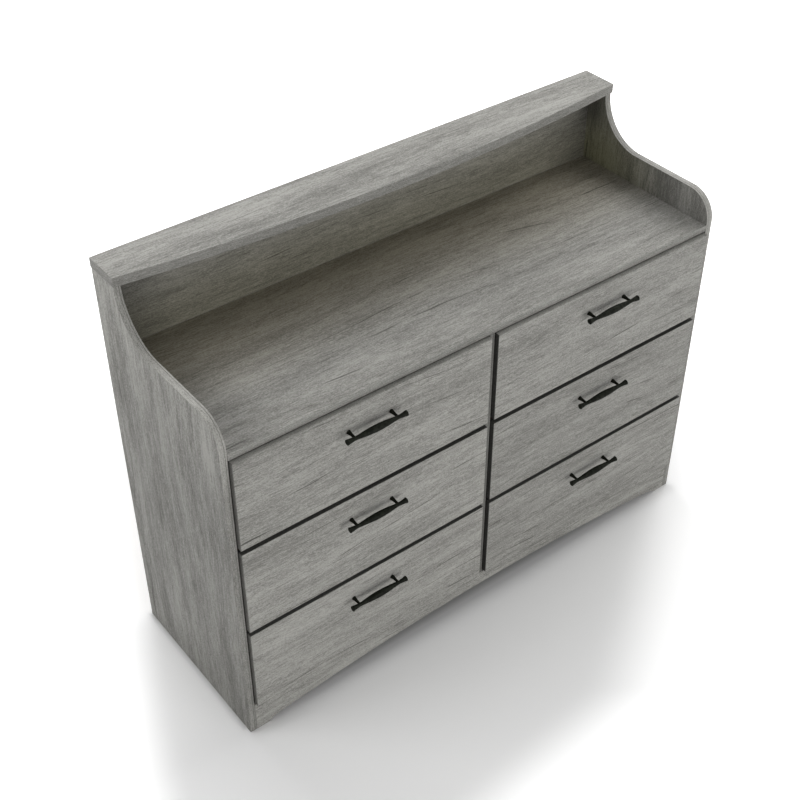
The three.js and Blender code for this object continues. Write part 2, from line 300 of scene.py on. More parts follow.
oak_group = make_oak_group()
print("oak group:", len(oak_group.nodes), "nodes")

# %% [markdown]
# ## The hutch's painted shade, as a second group
#
# Under the cap the photograph's oak is darker and browner than the lamps make it, so that shade is
# painted into the oak's colour. This group tells an oak material how deep in the hutch a point lies,
# from the point's place alone: Mask grows towards the back and the deck, Corner towards the side
# panels, and Nook only where the back, a side panel and the cap meet. Each marks where painted shade
# darkens the oak. All three are 0 outside, so the outer faces of the same boards stay as they are.

# %% Hutch painted shade group
hutch_half_width = 0.5885
hutch_floor, hutch_roof, hutch_back = 0.7, 0.917, 0.2


def make_painted_hutch_shade_group():
    """Three masks of painted shade for the inside of the hutch. Each is 1 where the painted shade is
    full.
    """
    tree = bpy.data.node_groups.new("hutch_painted_shade_masks", "ShaderNodeTree")
    tree.interface.new_socket("Vector", in_out="INPUT", socket_type="NodeSocketVector")
    for name in ("Mask", "Corner", "Nook"):
        tree.interface.new_socket(name, in_out="OUTPUT", socket_type="NodeSocketFloat")
    x, y, z = split(tree, add_node(tree, "NodeGroupInput").outputs[0])
    aside = math_node(tree, "ABSOLUTE", x)
    inside = math_node(tree, "GREATER_THAN", z, hutch_floor)
    for value, limit in ((z, hutch_roof), (aside, hutch_half_width), (y, hutch_back)):
        inside = math_node(tree, "MULTIPLY", inside, math_node(tree, "LESS_THAN", value, limit))
    result = add_node(tree, "NodeGroupOutput")
    # Each mask is a product of ramps: a value, where its ramp starts and ends, and its least.
    for name, ramps in (
        ("Mask", ((y, -0.1, 0.17, 0.0), (z, 0.92, 0.76, 0.15))),
        ("Corner", ((aside, 0.43, 0.586, 0.0),)),
        ("Nook", ((aside, 0.545, 0.586, 0.0), (y, 0.12, 0.175, 0.0), (z, 0.81, 0.87, 0.0))),
    ):
        mask = inside
        for value, start, end, least in ramps:
            mask = math_node(tree, "MULTIPLY", mask, stretched(tree, value, start, end, least))
        tree.links.new(mask, result.inputs[name])
    return tree


painted_hutch_shade_group = make_painted_hutch_shade_group()
print("recess group:", len(painted_hutch_shade_group.nodes), "nodes")

# %% [markdown]
# ## Oak materials
#
# Every board uses the oak group with its own values. A face reads the object's own coordinates, and a
# Mapping node turns them so that X runs along that board's grain: sideways on the fronts and tops,
# upwards on the side panels. Each drawer front is cut from another part of the printed sheet, so its
# coordinates are moved by a distance of its own.
#
# An edge band is a narrow strip glued round the board, so it reads the board's own UV map, whose
# first coordinate is the distance along the edge and whose second is the depth into the board. A thin
# dark seam runs along it, where the band meets the printed face sheet. Bands that look into a gap
# between two fronts are painted darker than those that lie open, as painted shade.

# %% Oak materials
oak_light = (0.42, 0.414, 0.387)
oak_dark = (0.18, 0.177, 0.163)
seam_colour = (0.04, 0.038, 0.033, 1.0)
seam_depth = 0.0042
seam_edge = (0.0003, 0.0011)
# Where a band's painted shade towards its far side starts and ends.
band_shade_fade = (0.003, 0.014)
# The painted shade's tone where the hutch's back, a side panel and the cap meet.
nook_shade_tone = 0.5
rough_dark, rough_light = 0.68, 0.54
bump_strength, bump_distance = 0.35, 0.0004
grain_upright = (0.0, math.radians(90.0), 0.0)
grain_sideways = (0.0, 0.0, 0.0)


def oak_material(name, turn, shift, tone=1.0, patches=0.9, streaks=0.55, cracks=1.0, waviness=0.03,
                 edge=None, recess=None, painted_light_top=None):
    """Printed oak: the group's colour, a roughness that follows its tone, and a shallow bump. Turn and
    shift place the board on the printed sheet. Edge is for a band: its seam's strength, and the tone
    at the band's far side, a painted shade. For a board in the hutch, one argument gives the colour of
    a painted shade that multiplies it deep inside, and that shade's tone at the sides. For the side
    panels' outer faces and rims, the last gives the tone of a painted light on their upper part, and
    the two heights between which it grows."""
    material, tree, shader = make_material(name, toned(oak_light, tone), 0.6, specular=0.2)
    if edge is None:
        source = object_place(tree)
    else:
        source = add_node(tree, "ShaderNodeUVMap", uv_map="grain").outputs[0]
    inputs = {"Vector": source, "Location": shift, "Rotation": turn}
    placed = add_node(tree, "ShaderNodeMapping", inputs).outputs[0]
    oak = add_node(tree, "ShaderNodeGroup", {
        "Vector": placed, "Light": toned(oak_light, tone), "Dark": toned(oak_dark, tone),
        "Patches": patches, "Streaks": streaks, "Cracks": cracks, "Waviness": waviness,
    }, node_tree=oak_group).outputs
    colour = oak["Color"]
    if edge is not None:
        seam_strength, far_side_shade_tone = edge
        depth = split(tree, source)[1]
        off_seam = math_node(tree, "ABSOLUTE", math_node(tree, "SUBTRACT", depth, seam_depth))
        seam = stretched(tree, off_seam, *seam_edge, seam_strength, 0.0)
        colour = mixed(tree, seam, colour, seam_colour)
        # Painted shade: the band darkens towards its far side.
        colour = mixed(tree, stretched(tree, depth, *band_shade_fade), colour, grey(far_side_shade_tone), "MULTIPLY")
    # Painted shade in the hutch: a warm darkening deep inside, more at the sides and most in the nooks.
    if recess is not None:
        shade_tint, corner_shade_tone = recess
        hutch = add_node(tree, "ShaderNodeGroup", {"Vector": source}, node_tree=painted_hutch_shade_group).outputs
        for mask, shade in (
            ("Mask", toned(shade_tint, 1.0)), ("Corner", grey(corner_shade_tone)), ("Nook", grey(nook_shade_tone)),
        ):
            colour = mixed(tree, hutch[mask], colour, shade, "MULTIPLY")
    # Painted light: the colour grows lighter towards the top, on a side panel's outer face and its rim.
    if painted_light_top is not None:
        painted_light_tone, low, high = painted_light_top
        place = split(tree, object_place(tree))
        rise = stretched(tree, place[2], low, high)
        if edge is None:
            aside = math_node(tree, "ABSOLUTE", place[0])
            outer = math_node(tree, "GREATER_THAN", aside, hutch_half_width)
            rise = math_node(tree, "MULTIPLY", rise, outer)
        colour = mixed(tree, rise, colour, grey(painted_light_tone), "MULTIPLY")
    tree.links.new(colour, shader.inputs["Base Color"])
    rough = stretched(tree, oak["Tone"], 0.0, 1.0, rough_dark, rough_light, smooth=False)
    tree.links.new(rough, shader.inputs["Roughness"])
    add_bump(tree, shader, oak["Height"], bump_strength, bump_distance)
    return material


def band_material(name, start, tone, edge, painted_light_top=None):
    """The oak of an edge band: nearly straight grain from another part of the sheet, and no cracks."""
    return oak_material(
        name, grain_sideways, (start, 0.0, 0.0), tone, cracks=0.0, waviness=0.002, edge=edge,
        painted_light_top=painted_light_top,
    )


# Each band: its tone, the strength of its seam and the tone at its far side. A tone below 1 is painted
# shade: on the bands that look into the gaps round the fronts, the divider's among them, a little on
# the cap's edge, and towards the bottom of the cap's and the deck's edges.
band_looks = {
    "plain": (1.0, 0.6, 1.0),
    "cap": (0.96, 0.12, 0.94),
    "deck": (1.04, 0.2, 0.78),
    "ledge": (1.08, 0.6, 1.0),
    "divider": (0.6, 0.6, 1.0),
    "side": (0.56, 0.6, 1.0),
    "row": (0.34, 0.6, 1.0),
    "middle": (0.22, 0.6, 1.0),
}
band_step, rim_start = 0.3, 2.1
bands = {}
for name, (tone, *edge) in band_looks.items():
    bands[name] = band_material(f"oak_{name}_band", band_step * len(bands), tone, edge)
# The rims' painted light: its tone, and the two heights between which it grows.
rim_painted_light = (1.38, 0.64, 0.72)
bands["rim"] = band_material("oak_rim_band", rim_start, 0.9, (0.5, 1.0), rim_painted_light)
print("edge bands:", ", ".join(bands))

# %% [markdown]
# ## Boards with softened edges
#
# A flat-pack board is a flat outline with an even thickness, and its edges are eased by about a
# millimetre where the band is trimmed. It could be a cube with a Bevel modifier. Worked out as a
# surface it is cleaner: the outline is carried across the thickness along a small profile that leans
# in at both faces, and the exact normal of every point is known, so flat stays flat in the light.
#
# Every outline here is a chain of arcs, joined by straight runs: a small arc at each corner, and large
# ones for the cove and shoulder of the side panels, the bow of the cap and the arch of the apron.

# %% Outlines as chains of arcs
corner_radius = 0.0016
edge_ease = 0.0009
corner_steps = 4
ease_steps = 3


def arc(centre, radius, start, end, steps):
    """Points and outward normals of an arc. A negative radius is a hollow arc, seen from inside."""
    angles = np.radians(np.linspace(start, end, steps + 1))
    spokes = np.stack([np.cos(angles), np.sin(angles)], axis=1)
    return np.array(centre) + abs(radius) * spokes, np.sign(radius) * spokes


def corner(point, start):
    """A quarter arc inside a square outer corner, from one heading to the next, anticlockwise."""
    middle = np.radians(start + 45.0)
    inward = -corner_radius * math.sqrt(2.0) * np.array([math.cos(middle), math.sin(middle)])
    return arc(np.array(point) + inward, corner_radius, start, start + 90.0, corner_steps)


def chain(*arcs):
    """Arcs joined to one closed outline, anticlockwise: all points and all normals."""
    return np.concatenate([a[0] for a in arcs]), np.concatenate([a[1] for a in arcs])


def rectangle(low, high):
    """A rectangle between two corners, with its corners eased."""
    return chain(
        corner((high[0], low[1]), -90.0),
        corner((high[0], high[1]), 0.0),
        corner((low[0], high[1]), 90.0),
        corner((low[0], low[1]), 180.0),
    )


print("a rectangle has", len(rectangle((0.0, 0.0), (1.0, 1.0))[0]), "points")

# %% The board itself
# For each plane: the directions of the outline's two coordinates and of the thickness.
planes = {
    "thick_x": np.array([[0.0, 1.0, 0.0], [0.0, 0.0, 1.0], [1.0, 0.0, 0.0]]),
    "thick_y": np.array([[1.0, 0.0, 0.0], [0.0, 0.0, 1.0], [0.0, 1.0, 0.0]]),
    "thick_z": np.array([[1.0, 0.0, 0.0], [0.0, 1.0, 0.0], [0.0, 0.0, 1.0]]),
}


def new_piece(name, points, faces, normals=None):
    """A mesh object at the origin, linked to the scene, with exact normals where they are known."""
    mesh = bpy.data.meshes.new(name)
    mesh.from_pydata(points.tolist(), [], faces)
    mesh.shade_smooth()
    mesh.update()
    if normals is not None:
        mesh.normals_split_custom_set_from_vertices(normals.tolist())
    piece = bpy.data.objects.new(name, mesh)
    bpy.context.scene.collection.objects.link(piece)
    return piece


def wrapped_grid(rings, columns):
    """The quads of a grid that closes on itself along its columns, and the two faces that end it."""
    ring, column = np.meshgrid(np.arange(rings - 1), np.arange(columns), indexing="ij")
    following = (column + 1) % columns
    quads = np.stack([
        ring * columns + column,
        ring * columns + following,
        (ring + 1) * columns + following,
        (ring + 1) * columns + column,
    ], axis=-1)
    first = list(range(columns))[::-1]
    last = list(range((rings - 1) * columns, rings * columns))
    return quads.reshape(-1, 4), [first, last]


def eased_board(name, node, plane, outline, face_material, edge_material=bands["plain"],
                seam_side="high"):
    """A board in place of a node. The outline is carried across the thickness on a profile: a quarter
    circle in from one face, straight across, and a quarter circle in to the other. A point is the
    outline's point less the normal times the profile's inset, at the profile's depth. Its normal is
    the outline's normal times the cosine of the lean, plus the thickness direction times its sine."""
    axes = planes[plane]
    low, high = (np.array(end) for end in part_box(node))
    depth_low, depth_high = low @ axes[2], high @ axes[2]
    lean = np.radians(np.linspace(90.0, 0.0, ease_steps + 1))
    inset = edge_ease * (1.0 - np.cos(lean))
    rise = edge_ease * (1.0 - np.sin(lean))
    insets = np.concatenate([inset, inset[::-1]])
    depths = np.concatenate([depth_low + rise, depth_high - rise[::-1]])
    leans = np.concatenate([-lean, lean[::-1]])
    flat_points, flat_normals = outline
    count = len(flat_points)
    at = flat_points[None, :, :] - flat_normals[None, :, :] * insets[:, None, None]
    points = at @ axes[:2] + depths[:, None, None] * axes[2]
    normals = flat_normals[None] @ axes[:2] * np.cos(leans)[:, None, None]
    normals = normals + np.sin(leans)[:, None, None] * axes[2]
    quads, ends = wrapped_grid(len(insets), count)
    if np.linalg.det(axes) < 0.0:  # a mirrored plane, whose faces would look inwards
        quads = quads[:, ::-1]
        ends = [end[::-1] for end in ends]
    piece = new_piece(name, points.reshape(-1, 3), quads.tolist() + ends, normals.reshape(-1, 3))

    # The band's UV map: the distance along the outline, and the depth from the side with the seam.
    steps = np.linalg.norm(np.roll(flat_points, -1, axis=0) - flat_points, axis=1)
    along = np.concatenate([[0.0], np.cumsum(steps)])
    column = quads % count
    wraps = (column.max(axis=1) - column.min(axis=1) > 1)[:, None] & (column == 0)
    inward = depth_high - depths if seam_side == "high" else depths - depth_low
    uv = np.stack([along[np.where(wraps, count, column)], inward[quads // count]], axis=-1)
    flat_uv = np.zeros(len(piece.data.loops) * 2)
    flat_uv[:uv.size] = uv.ravel()
    piece.data.uv_layers.new(name="grain").data.foreach_set("uv", flat_uv)

    piece.data.materials.append(face_material)
    piece.data.materials.append(edge_material)
    index = np.zeros(len(piece.data.polygons), dtype=np.int32)
    index[:len(quads)] = 1
    piece.data.polygons.foreach_set("material_index", index)
    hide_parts(node)
    return piece


print("planes:", ", ".join(planes))

# %% [markdown]
# ## The case
#
# The side panels stand from the floor to the cap. Their front edge rises straight, rounds back over a
# shoulder, runs level and sweeps up in a cove. The sizes of the two curves are the panel's own, and
# the rest of the outline comes from the node's box.

# %% Side panels
cove_radius = 0.105
shoulder_radius = 0.06
top_depth = 0.08
curve_steps = 40
cove_start = -1.0  # degrees, so that the cove begins just below the eased corner above it


def side_panel_outline(low, high):
    """The panel seen from its side, with Y to the right and Z up, anticlockwise from the back foot."""
    shelf = high.z - cove_radius
    cove_middle = (high.y - top_depth - cove_radius, high.z)
    shoulder_middle = (low.y + shoulder_radius, shelf - shoulder_radius)
    return chain(
        corner((high.y, low.z), -90.0),
        corner((high.y, high.z), 0.0),
        corner((high.y - top_depth, high.z), 90.0),
        arc(cove_middle, -cove_radius, cove_start, -90.0, curve_steps),
        arc(shoulder_middle, shoulder_radius, 90.0, 180.0, curve_steps),
        corner((low.y, low.z), 180.0),
    )


# The side panels' outer faces get painted light towards their top, and their inner faces in the hutch a
# warm painted shade.
side_oak = oak_material(
    "oak_side_panel", grain_upright, (0.0, 0.4, 0.1), 0.9, patches=1.7, streaks=1.25, cracks=0.8,
    recess=((1.01, 1.0, 0.71), 0.88), painted_light_top=(1.34, 0.6, 0.86),
)
for side in ("left", "right"):
    node = f"{side}_side_panel"
    outline = side_panel_outline(*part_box(node))
    inner_side = "high" if side == "left" else "low"
    panel = eased_board(
        f"{side}_panel_dressed", node, "thick_x", outline, side_oak, bands["rim"], inner_side,
    )
    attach(panel, "carcass")
print("side panels:", len(panel.data.polygons), "faces each")

# %% [markdown]
# The cap is the only thick board. Its back and ends are straight, and its front edge is one long bow.
# The radius of the bow follows from its width and from how far the middle stands out.

# %% Cap board
cap_bow = 0.04
bow_steps = 64


def cap_outline(low, high):
    """The cap seen from above, with X to the right and Y away from the viewer, anticlockwise."""
    half = high.x
    radius = (half ** 2 + cap_bow ** 2) / (2.0 * cap_bow)
    swing = math.degrees(math.asin(half / radius))
    inner = math.degrees(math.asin((half - corner_radius) / radius))
    end_x = half - corner_radius
    end_y = low.y + cap_bow + corner_radius
    print("bow radius", round(radius, 3), "swing", round(swing, 2))
    return chain(
        arc((0.0, low.y + radius), radius, -90.0 - inner, -90.0 + inner, bow_steps),
        arc((end_x, end_y), corner_radius, -90.0 + swing, 0.0, corner_steps),
        corner((high.x, high.y), 0.0),
        corner((low.x, high.y), 90.0),
        arc((-end_x, end_y), corner_radius, 180.0, 270.0 - swing, corner_steps),
    )


cap_oak = oak_material(
    "oak_cap", grain_sideways, (0.8, 0.3, 0.2), 1.0, patches=1.5, streaks=1.2, cracks=0.5,
)
outline = cap_outline(*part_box("cap_board"))
cap = eased_board("cap_dressed", "cap_board", "thick_z", outline, cap_oak, bands["cap"])
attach(cap, "carcass")

# %% [markdown]
# The apron closes the case below the drawers. It stands on a foot at each end, rises on a short ramp,
# and then follows one long shallow arch. Its left half is the right half mirrored.

# %% Apron
arch_rise = 0.042
ramp_rise = 0.01
ramp_run = 0.018
foot_length = 0.032
arch_steps = 72
ramp_steps = 8


def mirrored(points, normals):
    """The same run on the other side of the middle, and in the other direction."""
    return points[::-1] * [-1.0, 1.0], normals[::-1] * [-1.0, 1.0]


def apron_outline(low, high):
    """The apron seen from the front, with X to the right and Z up, anticlockwise from the left foot.
    The ramp is a curve between two points that is drawn towards a third."""
    foot_end = high.x - foot_length
    arch_half = foot_end - ramp_run
    sagitta = arch_rise - ramp_rise
    radius = (arch_half ** 2 + sagitta ** 2) / (2.0 * sagitta)
    swing = math.degrees(math.asin(arch_half / radius))
    ramp = np.linspace(1.0, 0.0, ramp_steps + 1)[1:-1, None]
    first = np.array([foot_end, 0.0])
    bend = np.array([foot_end - ramp_run / 3.0, ramp_rise])
    last = np.array([arch_half, ramp_rise])
    curve = (1.0 - ramp) ** 2 * first + 2.0 * ramp * (1.0 - ramp) * bend + ramp ** 2 * last
    slope = 2.0 * (1.0 - ramp) * (bend - first) + 2.0 * ramp * (last - bend)
    slope = slope / np.linalg.norm(slope, axis=1, keepdims=True)
    right_ramp = (curve, np.stack([-slope[:, 1], slope[:, 0]], axis=1))
    toe_points = [[foot_end, low.z + corner_radius], [foot_end + corner_radius, low.z]]
    right_toe = (np.array(toe_points), np.array([[-math.sqrt(0.5), -math.sqrt(0.5)], [0.0, -1.0]]))
    return chain(
        corner((low.x, low.z), 180.0),
        mirrored(*right_toe),
        mirrored(*right_ramp),
        arc((0.0, arch_rise - radius), -radius, 90.0 + swing, 90.0 - swing, arch_steps),
        right_ramp,
        right_toe,
        corner((high.x, low.z), -90.0),
        corner((high.x, high.z), 0.0),
        corner((low.x, high.z), 90.0),
    )


apron_oak = oak_material("oak_apron", grain_sideways, (0.2, 0.1, 0.7), 1.09, patches=1.3, streaks=1.1)
apron = eased_board("apron_dressed", "apron", "thick_y", apron_outline(*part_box("apron")), apron_oak)
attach(apron, "carcass")
print("apron:", len(apron.data.polygons), "faces")

# %% [markdown]
# The deck, the back of the hutch and the divider are plain rectangles. Each gets a grain of its own,
# and the two that lie in the hutch get its painted shade.

# %% Deck, hutch back and divider
def box_outline(node, plane):
    """The rectangle that a node fills in a plane."""
    axes = planes[plane]
    low, high = (np.array(end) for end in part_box(node))
    return rectangle(axes[:2] @ low, axes[:2] @ high)


def dress_plain_board(node, plane, slot, turn, shift, tone, band, **looks):
    """A rectangular board of the case with its own oak."""
    finish = oak_material(f"oak_{node}", turn, shift, tone, patches=1.2, **looks)
    piece = eased_board(f"{node}_dressed", node, plane, box_outline(node, plane), finish, band)
    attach(piece, "carcass")
    print(node, "dressed")


dress_plain_board(
    "deck_board", "thick_z", "case_oak", grain_sideways, (0.1, 0.6, 0.0), 1.02, bands["deck"],
    streaks=1.0, cracks=0.85, recess=((1.07, 1.0, 0.85), 0.78),
)
# The hutch back's tone is set below the other boards', as painted shade under the cap.
dress_plain_board(
    "hutch_back_panel", "thick_y", "case_oak", grain_sideways, (0.5, 0.2, 0.35), 0.8, bands["plain"],
    streaks=1.0, cracks=1.0, recess=((1.03, 1.0, 0.85), 0.55),
)
dress_plain_board(
    "centre_divider", "thick_x", "side_panel_oak", grain_upright, (0.3, 0.9, 0.2), 0.95,
    bands["divider"], streaks=1.0, cracks=0.4,
)

# %% [markdown]
# ## Drawer fronts
#
# The six fronts are alike, but each is cut from another part of the sheet. The shift along and across
# the grain is set for each, and so is its tone, which differs partly because the printed sheets vary a
# little and partly as painted light and shade. Three bands meet on a front: the one on its left end,
# the one on its top edge and the one on the other edges.

# %% Drawer fronts
# Each front: its shift on the sheet, and its tone, which holds some painted light and shade.
front_places = {
    "top_left": ((0.35, 0.0, 0.12), 1.09),
    "top_right": ((1.45, 0.0, 0.47), 1.04),
    "middle_left": ((2.65, 0.0, 0.83), 1.1),
    "middle_right": ((3.3, 0.0, 1.26), 0.97),
    "bottom_left": ((4.75, 0.0, 1.71), 1.1),
    "bottom_right": ((5.6, 0.0, 2.18), 1.0),
}
left_end_slot, top_edge_slot = 2, 3
for key, (shift, tone) in front_places.items():
    finish = oak_material(f"oak_{key}_front", grain_sideways, shift, tone, patches=1.2, streaks=0.85)
    node = f"{key}_drawer_front"
    outline = box_outline(node, "thick_y")
    front = eased_board(f"{key}_front_dressed", node, "thick_y", outline, finish, bands["row"])
    front.data.materials.append(bands["side" if key.endswith("left") else "middle"])
    front.data.materials.append(bands["ledge" if key.startswith("top") else "row"])
    for polygon in front.data.polygons:
        if polygon.normal.x < -0.5:
            polygon.material_index = left_end_slot
        elif polygon.normal.z > 0.5:
            polygon.material_index = top_edge_slot
    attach(front, f"{key}_drawer")
print("drawer fronts:", len(front_places))

# %% [markdown]
# ## Pulls
#
# Each pull is a turned spindle: stout in the middle, thin where the posts join, and flared to a flat
# face at both ends. A Spin modifier could turn it, but a surface of revolution needs only one formula:
# the radius as a function of the distance along the axis. The posts are turned in the same way and
# widen where they meet the drawer front.

# %% Turned shapes
sharp_edge_angle = math.radians(40.0)


def turned(name, along, radius, start, direction, sides):
    """A surface of revolution: at each distance along the axis, a ring of that radius, with sides
    points evenly round it, closed by a flat face at both ends."""
    axis = np.array(direction, dtype=float)
    helper = np.array([0.0, 0.0, 1.0]) if abs(axis[2]) < 0.5 else np.array([1.0, 0.0, 0.0])
    across = np.cross(helper, axis)
    other = np.cross(axis, across)
    turns = np.linspace(0.0, 2.0 * math.pi, sides, endpoint=False)
    ring = np.cos(turns)[:, None] * across + np.sin(turns)[:, None] * other
    points = np.array(start) + along[:, None, None] * axis + radius[:, None, None] * ring
    quads, ends = wrapped_grid(len(along), sides)
    piece = new_piece(name, points.reshape(-1, 3), quads.tolist() + ends)
    piece.data.set_sharp_from_angle(angle=sharp_edge_angle)
    return piece


def joined(name, pieces):
    """Several mesh objects made one."""
    with bpy.context.temp_override(active_object=pieces[0], selected_editable_objects=pieces):
        bpy.ops.object.join()
    pieces[0].name = name
    return pieces[0]


print("turning helpers ready")

# %% Spindle pulls
post_centres = 0.096
neck_radius = 0.0038
end_radius = 0.006
end_ease = 0.0004
belly_power = 1.5
flare_power = 1.6
post_waist = 0.0026
post_base = 0.0046
post_power = 2.2
spindle_rings, spindle_sides = 91, 40
post_rings, post_sides = 22, 28
coat_grain, coat_wear = 2600.0, 150.0


def spindle_radius(along, half, middle_radius):
    """The belly falls from the middle to the posts as a power of one minus the squared distance, and
    beyond the posts the flare grows as a power of the distance from the post."""
    distance = np.abs(along)
    post_at = post_centres / 2.0
    belly = np.clip(1.0 - (distance / post_at) ** 2, 0.0, 1.0) ** belly_power
    flare = np.clip((distance - post_at) / (half - post_at), 0.0, 1.0) ** flare_power
    return neck_radius + (middle_radius - neck_radius) * belly + (end_radius - neck_radius) * flare


def make_pull_metal():
    """Black powder coat: nearly black, satin, a little worn, with a fine grain in its surface."""
    material, tree, shader = make_material("pull_black_coat", grey(0.003), 0.45, specular=0.05)
    wear = even_noise(tree, coat_wear, 3.0)
    worn, fresh = (0.017, 0.019, 0.0135, 1.0), (0.0075, 0.0085, 0.006, 1.0)
    colour = mixed(tree, stretched(tree, wear, 0.4, 0.65), fresh, worn)
    tree.links.new(colour, shader.inputs["Base Color"])
    tree.links.new(stretched(tree, wear, 0.3, 0.7, 0.5, 0.38), shader.inputs["Roughness"])
    add_bump(tree, shader, even_noise(tree, coat_grain, 2.0), 0.25, 0.0002)
    return material


pull_metal = make_pull_metal()
for key in front_places:
    low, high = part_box(f"{key}_drawer_pull")
    half = (high.x - low.x) / 2.0
    middle_radius = (high.z - low.z) / 2.0
    axis_y = low.y + middle_radius
    middle = ((low.x + high.x) / 2.0, axis_y, (low.z + high.z) / 2.0)
    inner = np.linspace(-half + end_ease, half - end_ease, spindle_rings)
    along = np.concatenate([[-half], inner, [half]])
    radius = spindle_radius(along, half, middle_radius)
    radius[[0, -1]] = end_radius - end_ease
    parts = [turned("spindle", along, radius, middle, (1.0, 0.0, 0.0), spindle_sides)]
    widen = np.linspace(0.0, 1.0, post_rings)
    post = post_waist + (post_base - post_waist) * widen ** post_power
    for side in (-1.0, 1.0):
        foot = (middle[0] + side * post_centres / 2.0, axis_y, middle[2])
        parts.append(turned("post", widen * (high.y - axis_y), post, foot, (0.0, 1.0, 0.0), post_sides))
    pull = joined(f"{key}_pull_dressed", parts)
    pull.data.materials.append(pull_metal)
    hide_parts(f"{key}_drawer_pull")
    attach(pull, f"{key}_drawer")
print("pull:", len(pull.data.polygons), "faces each")

# %% [markdown]
# ## Small fittings
#
# Three kinds of metal show only when a drawer is open or the dresser is turned round: the screws that
# hold the pulls, seen inside each front, the nails along the back sheets, and the cam discs that draw
# the hutch's back panel tight. All are turned shapes, so the same formula makes them. The slot for the
# driver is a round hollow, which reads the same at this size and keeps the faces few. The nails are
# all but flush, so they don't make the model deeper.

# %% Screws, nails and cam discs
steel_cloud = 900.0


def make_fitting_steel():
    """Zinc-plated steel: metallic, satin, with small clouds in its gloss."""
    material, tree, shader = make_material("fitting_steel", (0.52, 0.52, 0.5, 1.0), 0.35, metallic=1.0)
    cloud = even_noise(tree, steel_cloud, 3.0)
    dull, bright = (0.42, 0.42, 0.4, 1.0), (0.6, 0.6, 0.57, 1.0)
    colour = mixed(tree, stretched(tree, cloud, 0.3, 0.7), dull, bright)
    tree.links.new(colour, shader.inputs["Base Color"])
    tree.links.new(stretched(tree, cloud, 0.3, 0.7, 0.28, 0.46), shader.inputs["Roughness"])
    return material


fitting_steel = make_fitting_steel()
head_sides = 16
# Each profile is a row of (distance off the board, radius), from the rim to the hollow.
screw_profile = np.array([
    [0.0, 0.0041], [0.0006, 0.0041], [0.0016, 0.0036], [0.0023, 0.0026], [0.0025, 0.0016],
    [0.0012, 0.0012],
])
nail_profile = np.array([[-0.0004, 0.0026], [-0.0001, 0.0025], [0.00001, 0.0022], [0.00002, 0.001]])
cam_profile = np.array([
    [0.0, 0.0076], [0.0004, 0.0074], [0.0005, 0.007], [0.0005, 0.0026], [-0.0002, 0.0022],
])


def fittings(name, profile, places, body):
    """Turned heads of one profile, looking back from many places, as one piece on a body."""
    distance, radius = profile.T
    heads = [turned("head", distance, radius, place, (0.0, 1.0, 0.0), head_sides) for place in places]
    piece = joined(name, heads)
    piece.data.materials.append(fitting_steel)
    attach(piece, body)
    return piece


for key in front_places:
    low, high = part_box(f"{key}_drawer_pull")
    inner_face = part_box(f"{key}_drawer_front")[1].y
    pull_middle = (low.x + high.x) / 2.0
    height = (low.z + high.z) / 2.0
    screws = [(pull_middle + side * post_centres / 2.0, inner_face, height) for side in (-1.0, 1.0)]
    fittings(f"{key}_pull_screws", screw_profile, screws, f"{key}_drawer")

nail_inset = 0.008
nails_across, nails_upright = 6, 7
for side in ("left", "right"):
    low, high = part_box(f"{side}_back_sheet")
    across = np.linspace(low.x + nail_inset, high.x - nail_inset, nails_across)
    upright = np.linspace(low.z + nail_inset, high.z - nail_inset, nails_upright)
    nails = [(x, high.y, z) for x in across for z in (upright[0], upright[-1])]
    nails += [(x, high.y, z) for x in (across[0], across[-1]) for z in upright[1:-1]]
    fittings(f"{side}_sheet_nails", nail_profile, nails, "carcass")

cam_inset = 0.034
low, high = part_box("hutch_back_panel")
cam_heights = (low.z + cam_inset, high.z - cam_inset)
cams = [(x, high.y, z) for x in (low.x + cam_inset, 0.0, high.x - cam_inset) for z in cam_heights]
fittings("hutch_cam_discs", cam_profile, cams, "carcass")
print("nails on each sheet:", len(nails), "cam discs:", len(cams))

# %% [markdown]
# ## Boards that show only inside, below and behind
#
# The drawer boxes, the bottom board and the rear rail are particle board with a pale printed paper
# face, the sheets are hardboard, and the runners are moulded plastic. Their nodes are the right shape,
# so they stay and only get finishes.

# %% Inner finishes
board_drift, board_fleck = 9.0, 420.0
plastic_mottle = 140.0


def make_hardboard():
    """Pressed fibre: a slow drift of tone and fine flecks."""
    light, dark = (0.275, 0.221, 0.157, 1.0), (0.252, 0.201, 0.142, 1.0)
    material, tree, shader = make_material("hardboard", light, 0.7, specular=0.3)
    drift = even_noise(tree, board_drift, 3.0)
    flecks = even_noise(tree, board_fleck, 3.0, 0.65)
    body = mixed(tree, stretched(tree, drift, 0.3, 0.7), dark, light)
    colour = mixed(tree, stretched(tree, flecks, 0.58, 0.72, 0.0, 0.9), body, dark, "MULTIPLY")
    tree.links.new(colour, shader.inputs["Base Color"])
    add_bump(tree, shader, flecks, 0.3, 0.0003)
    return material


def make_runner_plastic():
    """Moulded plastic, off-white, with a faint mottle."""
    material, tree, shader = make_material("runner_plastic", (0.62, 0.62, 0.59, 1.0), 0.42)
    mottle = even_noise(tree, plastic_mottle, 2.0)
    colour = mixed(tree, mottle, (0.58, 0.58, 0.55, 1.0), (0.66, 0.66, 0.63, 1.0))
    tree.links.new(colour, shader.inputs["Base Color"])
    tree.links.new(stretched(tree, mottle, 0.3, 0.7, 0.36, 0.48), shader.inputs["Roughness"])
    return material


paper_face = oak_material(
    "paper_faced_board", grain_sideways, (0.0, 0.0, 0.0), 1.25, patches=0.5, streaks=0.5, cracks=0.2,
)
